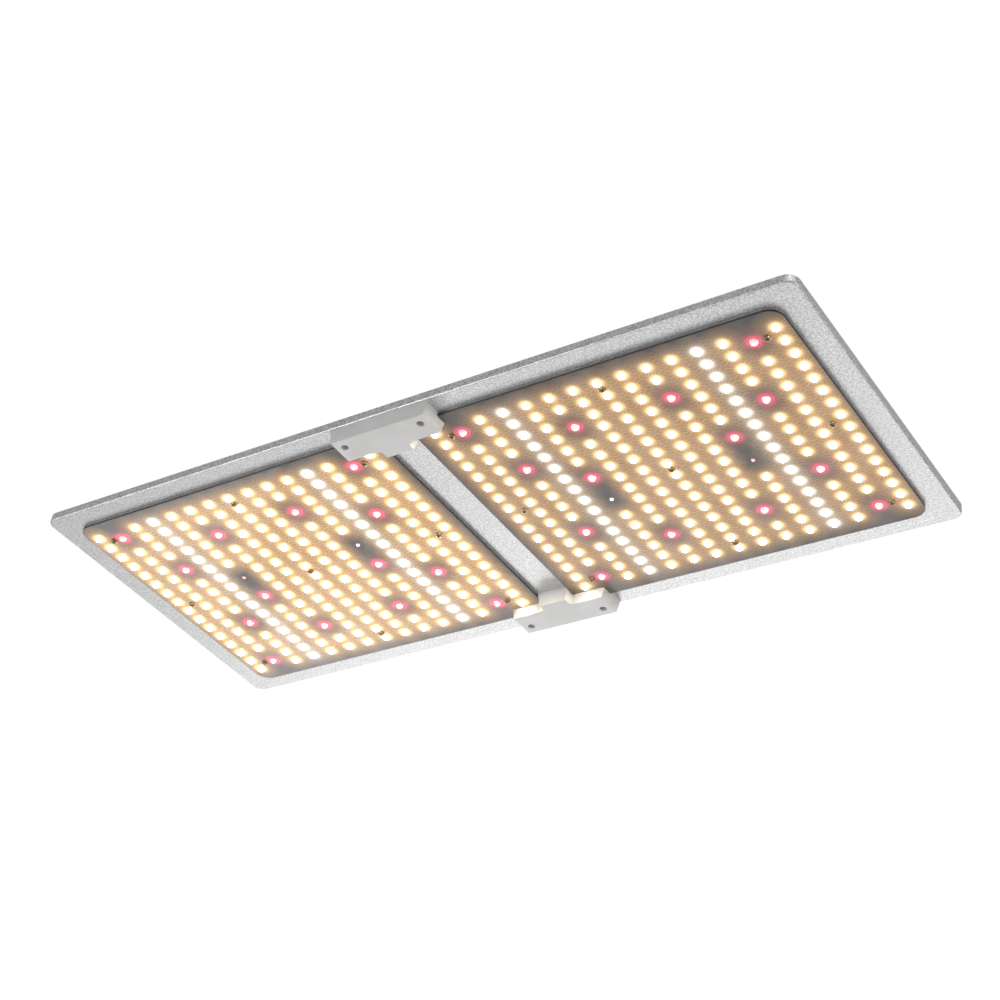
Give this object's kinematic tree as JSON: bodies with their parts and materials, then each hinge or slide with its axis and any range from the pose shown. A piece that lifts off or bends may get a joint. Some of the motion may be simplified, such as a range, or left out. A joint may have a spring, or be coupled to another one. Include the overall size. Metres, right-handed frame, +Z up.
{
  "type": "led grow light",
  "caption": "Hanging panel lamp: shallow metal pan, two LED boards beneath, wire covers at mid-length, a driver with dimmer on top and swinging hang rings.",
  "frame": {"origin": "middle of the four hang rings' hinge pins, level with the pins' axes", "axes": "+X along the lamp towards the power inlet, +Y across it, away from the side where the output cable goes through the plate, +Z up; the LEDs face -Z"},
  "size_m": [0.648, 0.271, 0.058],
  "materials": {
    "pan_coat": "pebbled satin coat",
    "board_coat": "glossy lacquered circuit board",
    "thermal_pad": "matte",
    "warm_led": "clear silicone dome",
    "cool_led": "clear silicone dome",
    "red_led": "clear silicone dome",
    "violet_led": "clear silicone dome",
    "infrared_led": "clear silicone dome",
    "white_plastic": "smooth moulded",
    "steel": "zinc plated",
    "red_wire": "smooth",
    "black_wire": "smooth",
    "white_wire": "smooth",
    "black_rubber": "matte",
    "black_plastic": "fine grain",
    "driver_aluminium": "anodised extrusion",
    "end_cap": "die-cast, powder coated",
    "brass": "turned",
    "driver_board": "solder mask",
    "ferrite": "ferrite and enamelled wire",
    "capacitor": "sleeved can",
    "dimmer_body": "stamped can",
    "dimmer_shaft": "turned",
    "knob": "ridged",
    "plated_steel": "zinc plated",
    "rivet": "bright"
  },
  "bodies": {
    "lamp": {"board_screws_left": "steel", "board_screws_right": "steel", "cable_clips": "black_plastic", "cool_leds_left": "cool_led", "cool_leds_right": "cool_led", "cover_screws_far": "steel", "cover_screws_near": "steel", "dimmer_potentiometer": "dimmer_body", "driver_board": "driver_board", "driver_capacitors": "capacitor", "driver_case": "driver_aluminium", "driver_choke": "ferrite", "driver_screws": "steel", "driver_standoffs": "brass", "driver_transformer": "ferrite", "grommet": "black_rubber", "hang_strap_far_left": "plated_steel", "hang_strap_far_right": "plated_steel", "hang_strap_near_left": "plated_steel", "hang_strap_near_right": "plated_steel", "hang_strap_rivets": "rivet", "infrared_led_left": "infrared_led", "infrared_led_right": "infrared_led", "input_cap_screws": "steel", "input_end_cap": "end_cap", "led_board_left": "board_coat", "led_board_right": "board_coat", "negative_lead": "black_wire", "output_cable": "black_rubber", "output_cap_screws": "steel", "output_end_cap": "end_cap", "output_gland_body": "black_plastic", "output_gland_nut": "black_plastic", "output_gland_seal": "black_rubber", "pan": "pan_coat", "positive_lead": "red_wire", "power_gland_body": "black_plastic", "power_gland_nut": "black_plastic", "power_gland_seal": "black_rubber", "red_leds_left": "red_led", "red_leds_right": "red_led", "series_jumper": "white_wire", "terminals_left": "white_plastic", "terminals_right": "white_plastic", "thermal_pad_left": "thermal_pad", "thermal_pad_right": "thermal_pad", "violet_led_left": "violet_led", "violet_led_right": "violet_led", "warm_leds_left": "warm_led", "warm_leds_right": "warm_led", "wire_cover_far": "white_plastic", "wire_cover_near": "white_plastic"},
    "ring_near_left": {"hang_ring_near_left": "plated_steel"},
    "ring_near_right": {"hang_ring_near_right": "plated_steel"},
    "ring_far_left": {"hang_ring_far_left": "plated_steel"},
    "ring_far_right": {"hang_ring_far_right": "plated_steel"},
    "dimmer": {"dimmer_knob": "knob", "dimmer_shaft": "dimmer_shaft"}
  },
  "joints": [
    {"name": "swing_near_left", "type": "hinge", "parent": "lamp", "child": "ring_near_left", "pos_m": [-0.25, -0.105, 0], "axis": [1, 0, 0], "range_deg": [0, 180]},
    {"name": "swing_near_right", "type": "hinge", "parent": "lamp", "child": "ring_near_right", "pos_m": [0.25, -0.105, 0], "axis": [1, 0, 0], "range_deg": [0, 180]},
    {"name": "swing_far_left", "type": "hinge", "parent": "lamp", "child": "ring_far_left", "pos_m": [-0.25, 0.105, 0], "axis": [-1, 0, 0], "range_deg": [0, 180]},
    {"name": "swing_far_right", "type": "hinge", "parent": "lamp", "child": "ring_far_right", "pos_m": [0.25, 0.105, 0], "axis": [-1, 0, 0], "range_deg": [0, 180]},
    {"name": "dimmer_turn", "type": "hinge", "parent": "lamp", "child": "dimmer", "pos_m": [-0.106, 0.017, 0.0232], "axis": [-1, 0, 0], "range_deg": [-280, 0]}
  ]
}
